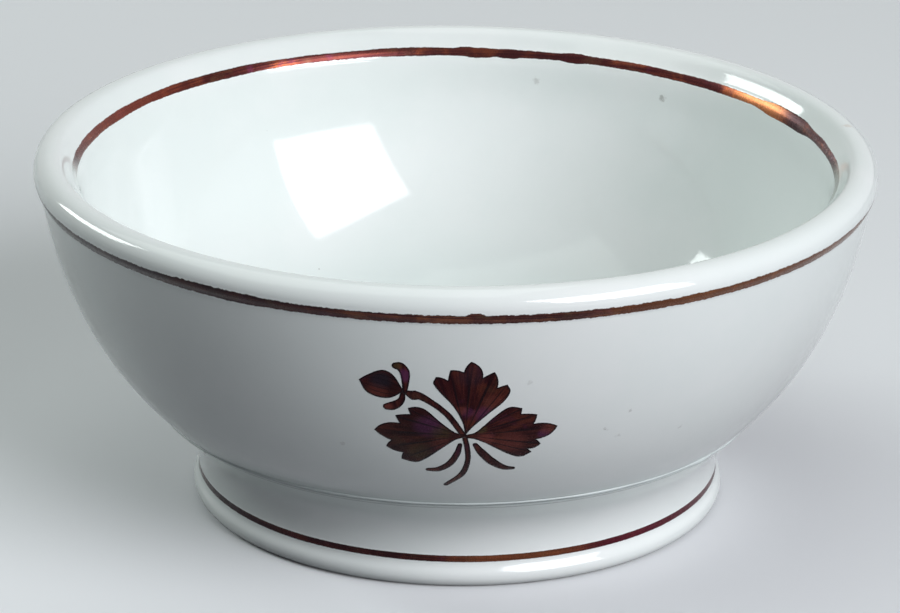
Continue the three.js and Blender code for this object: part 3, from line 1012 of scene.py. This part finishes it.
veins = {
    "ribWidths": (-0.05, 0.16),            # in ribs: what one loses on its way out, and its foot
    "ribStrength": 0.8,
    "streaks": (4.0, 1.6),                 # brush streaks from rib to rib, and along a rib
    "strokeStreaks": (0.35, 0.12),
    "leafGlow": 0.35,
    "strokeGlow": 0.25,
    "grain": 0.03 * mm,
    "metallic": 0.97,
    "shade": (0.41, 0.27, 0.36, 1),        # the sprig's lustre is laid on thicker than the bands'
    "ink": (0.007, 0.004, 0.006, 1),       # the drawn outline
    "inkEdge": (0.38 * mm, 0.1 * mm),
    "inkStrength": 0.9,
}

# Soft washes of other colours on the sprig: where, in the sprig's own millimetres, how far, how strongly
washTints = {
    "plum": (0.085, 0.022, 0.070, 1),
    "olive": (0.060, 0.042, 0.018, 1),
    "russet": (0.125, 0.030, 0.024, 1),
    "slate": (0.016, 0.016, 0.026, 1),
    "soot": (0.005, 0.003, 0.003, 1),
}
washes = {
    "plum": [(-5.9, 1.8, 3.2, 0.7), (3.2, 4.7, 2.4, 0.5), (12.9, -0.3, 1.5, 0.5), (0.4, 5.2, 1.4, 0.4),
             (-9.1, 12.6, 1.8, 0.6)],
    "olive": [(-3.9, 0.5, 2.2, 0.5), (-7.6, -4.3, 2.8, 0.45), (2.6, 1.3, 1.3, 0.6), (-10.3, 14.5, 1.2, 0.5)],
    "russet": [(-4.0, -2.2, 2.2, 0.5), (3.4, -1.0, 2.0, 0.8), (7.5, -1.9, 3.4, 0.5), (13.3, 0.8, 1.6, 0.5),
               (-0.6, 5.6, 1.3, 0.5), (4.5, 7.2, 2.4, 0.45), (-13.4, 9.2, 2.2, 0.7), (-12.2, 5.9, 1.4, 0.7)],
    "slate": [(-12.8, 11.4, 2.4, 0.7), (1.0, 12.8, 3.0, 0.3)],
    # darkens the left leaf and the bud
    "soot": [(-9.2, -1.2, 9.5, 0.5), (-12.8, 10.4, 4.5, 0.4)],
}


def makeSprigLustre(name, ribs, glow):
    material, tree, shader = newMaterial(name)
    rib, reach, depth = tagged(tree, "rib"), tagged(tree, "reach"), tagged(tree, "depth")
    sideStreaks, longStreaks = veins["streaks"]
    flow = {0: times(tree, rib, sideStreaks), 1: times(tree, reach, longStreaks)}
    skin = useGroup(tree, lustreSkin, {
        "Place": onPiece(tree), "Flow": add(tree, "CombineXYZ", flow).outputs[0], "Depth": depth,
        "Grain": veins["grain"], "Wear": 0.0, "Glow": glow})
    colour = blended(tree, 1.0, skin["Color"], veins["shade"], "MULTIPLY")
    onSprig = add(tree, "CombineXYZ", {0: tagged(tree, "right"), 2: tagged(tree, "up")}).outputs[0]
    for tint, spots in washes.items():
        for x, y, size, strength in spots:
            mask = useGroup(tree, spot, {"Place": onSprig, "Centre": (x, 0, y), "Reach": size})["Mask"]
            colour = blended(tree, times(tree, mask, strength), colour, washTints[tint])
    if ribs:
        # dark ribs fan out from the stalk and thin towards the tips
        share = calc(tree, "FRACT", calc(tree, "ADD", rib, 0.5))
        off = calc(tree, "ABSOLUTE", calc(tree, "SUBTRACT", share, 0.5))
        width = scaled(tree, reach, *veins["ribWidths"])
        line = between(tree, calc(tree, "DIVIDE", off, width), 1.0, 0.25)
        line = times(tree, line, between(tree, reach, 1.0, 0.6), veins["ribStrength"])
        colour = blended(tree, line, colour, veins["ink"])
    drawn = times(tree, between(tree, depth, *veins["inkEdge"]), veins["inkStrength"])
    feed(tree, shader, {
        "Base Color": blended(tree, drawn, colour, veins["ink"]),
        "Metallic": veins["metallic"],
        "Roughness": skin["Roughness"],
        "IOR": glazing["ior"],
        "Normal": bumped(tree, skin["Height"], lustre["relief"]),
    })
    return material


def makeSprigs():
    leafLustre = makeSprigLustre("leafLustre", True, veins["leafGlow"])
    strokeLustre = makeSprigLustre("strokeLustre", False, veins["strokeGlow"])
    for name, leaf in leaves.items():
        tips = flat(leaf["tips"])
        ends = flat([leaf["first"][-1], leaf["last"][0]])
        paintFilm(name, leafOutline(leaf), lambda point: ribPlace(point, tips, ends), leafLustre)
    budOutline = smoothLine(flat(bud["above"]), 6) + smoothLine(flat(bud["below"]), 6)
    paintFilm("bud", budOutline, budRib, leafLustre)
    across, up = veins["strokeStreaks"]
    for name, line in strokes.items():
        paintFilm(name, strokeOutline(line), lambda point: (point.x * across, point.z * up), strokeLustre)


makeSprigs()
print("sprigs ready")


# Floor, lights and camera

studio = {
    "floor": (0.84, 0.85, 0.87, 1),
    "floorBounce": (0.11, 0.115, 0.125, 1),   # what it throws back, so that the shaded side stays dark
    "floorSize": 6.0,
    "floorRoughness": 0.7,
    "floorSpecular": 0.2,
    "background": (0.80, 0.81, 0.83, 1),
    "fill": 0.03,
    "fillColour": (0.86, 0.92, 1.0, 1),
}
# Where each lamp stands, where it faces, which way is up on it, its size, its power and its tint
softboxes = {
    "keySoftbox": ((810, -924, 670), (-0.786, 0.266, -0.558), (-0.477, 0.314, 0.821), (978, 766), 20.4,
                   (0.95, 0.965, 1.0)),
    "sideSoftbox": ((-1605, 1011, 845), (0.899, 0.438, 0), (0, 0, 1), (1575, 480), 22.0,
                    (0.93, 1.0, 0.98)),
    "topSoftbox": ((-650, 250, 2000), (0.30, -0.12, -0.95), (0, 1, 0), (2200, 2400), 16.0,
                   (0.93, 1.0, 0.96)),
}
view = {
    "place": (0.76, -704.9, 298.1),
    "angles": (20.602, -0.119, -0.586),       # pitch, yaw and roll
    "sensor": 36,
    "lens": 171.7,
}


def seenRay(tree):
    # 1 for what the camera, a reflection or glass shows, and 0 for the light that falls on the object
    path = add(tree, "LightPath").outputs
    seen = calc(tree, "MAXIMUM", path["Is Camera Ray"], path["Is Glossy Ray"])
    return calc(tree, "MAXIMUM", seen, path["Is Transmission Ray"])


def makeFloor():
    mesh = bmesh.new()
    bmesh.ops.create_grid(mesh, x_segments=1, y_segments=1, size=studio["floorSize"] / 2)
    data = bpy.data.meshes.new("floor")
    mesh.to_mesh(data)
    mesh.free()
    floor = bpy.data.objects.new("floor", data)
    bpy.context.scene.collection.objects.link(floor)
    material, tree, shader = newMaterial("floorPaper")
    colour = blended(tree, seenRay(tree), studio["floorBounce"], studio["floor"])
    feed(tree, shader, {"Base Color": colour, "Roughness": studio["floorRoughness"],
                        "Specular IOR Level": studio["floorSpecular"]})
    data.materials.append(material)


def makeWorld():
    world = bpy.data.worlds.new("studio")
    bpy.context.scene.world = world
    world.use_nodes = True
    tree = world.node_tree
    tree.nodes.clear()
    shown = add(tree, "Background", {"Color": studio["background"], "Strength": 1.0}).outputs[0]
    lighting = add(tree, "Background", {"Color": studio["fillColour"], "Strength": studio["fill"]}).outputs[0]
    mixed = add(tree, "MixShader", {0: seenRay(tree), 1: lighting, 2: shown}).outputs[0]
    add(tree, "OutputWorld", {"Surface": mixed})


def makeSoftbox(name, where, facing, up, size, power, tint):
    lamp = bpy.data.lights.new(name, "AREA")
    lamp.shape = "RECTANGLE"
    lamp.size, lamp.size_y = size[0] * mm, size[1] * mm
    lamp.energy = power
    lamp.color = tint
    box = bpy.data.objects.new(name, lamp)
    back = -Vector(facing).normalized()
    across = Vector(up).cross(back).normalized()
    turn = Matrix((across, back.cross(across), back)).transposed()
    box.matrix_world = Matrix.Translation(Vector(where) * mm) @ turn.to_4x4()
    bpy.context.scene.collection.objects.link(box)


def makeCamera():
    lens = bpy.data.cameras.new("camera")
    lens.sensor_width = view["sensor"]
    lens.lens = view["lens"]
    camera = bpy.data.objects.new("camera", lens)
    pitch, yaw, roll = (math.radians(angle) for angle in view["angles"])
    forward = Vector((math.sin(yaw) * math.cos(pitch), math.cos(yaw) * math.cos(pitch), -math.sin(pitch)))
    level = Vector((math.cos(yaw), -math.sin(yaw), 0))
    down = forward.cross(level)
    right = level * math.cos(roll) + down * math.sin(roll)
    down = down * math.cos(roll) - level * math.sin(roll)
    turn = Matrix((right, -down, -forward)).transposed()
    camera.matrix_world = Matrix.Translation(Vector(view["place"]) * mm) @ turn.to_4x4()
    bpy.context.scene.collection.objects.link(camera)
    bpy.context.scene.camera = camera


makeFloor()
makeWorld()
for name, lamp in softboxes.items():
    makeSoftbox(name, *lamp)
makeCamera()
bpy.context.scene.view_settings.view_transform = "Standard"
print("studio ready")
